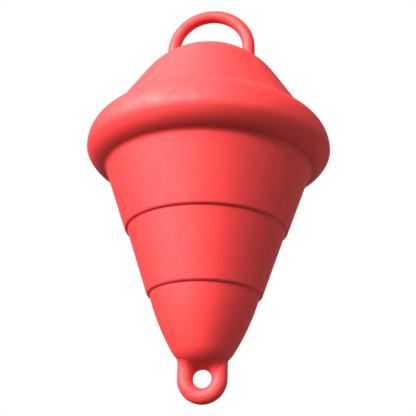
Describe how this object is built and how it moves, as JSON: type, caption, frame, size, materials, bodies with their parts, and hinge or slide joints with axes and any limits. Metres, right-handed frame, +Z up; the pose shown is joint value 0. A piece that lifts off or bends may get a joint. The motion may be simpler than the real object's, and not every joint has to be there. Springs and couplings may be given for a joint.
{
  "type": "conical marker buoy",
  "caption": "Conical marker buoy moulded in red polyethylene: domed crown with a loop handle, thick rounded collar, stepped cone and a round mooring eye under the nose.",
  "frame": {"origin": "centre of the collar's widest circle, which is the waterline", "axes": "+Z up along the buoy's axis, towards the carrying handle; the handle and the mooring eye lie in the XZ plane; the eye's hole runs along Y"},
  "size_m": [0.32, 0.3199, 0.549],
  "materials": {
    "crown": "moulded polyethylene, satin, coloured through",
    "collar": "moulded polyethylene, satin, coloured through",
    "upper_tier": "moulded polyethylene, satin, coloured through",
    "middle_tier": "moulded polyethylene, satin, coloured through",
    "nose": "moulded polyethylene, satin, coloured through",
    "carry_handle": "moulded polyethylene, satin, coloured through",
    "mooring_eye": "moulded polyethylene, satin, coloured through",
    "filler_plug": "moulded polyethylene, satin, coloured through"
  },
  "bodies": {
    "root": {"crown": "crown", "collar": "collar", "upper_tier": "upper_tier", "middle_tier": "middle_tier", "nose": "nose", "carry_handle": "carry_handle", "mooring_eye": "mooring_eye", "filler_plug": "filler_plug"}
  },
  "joints": []
}
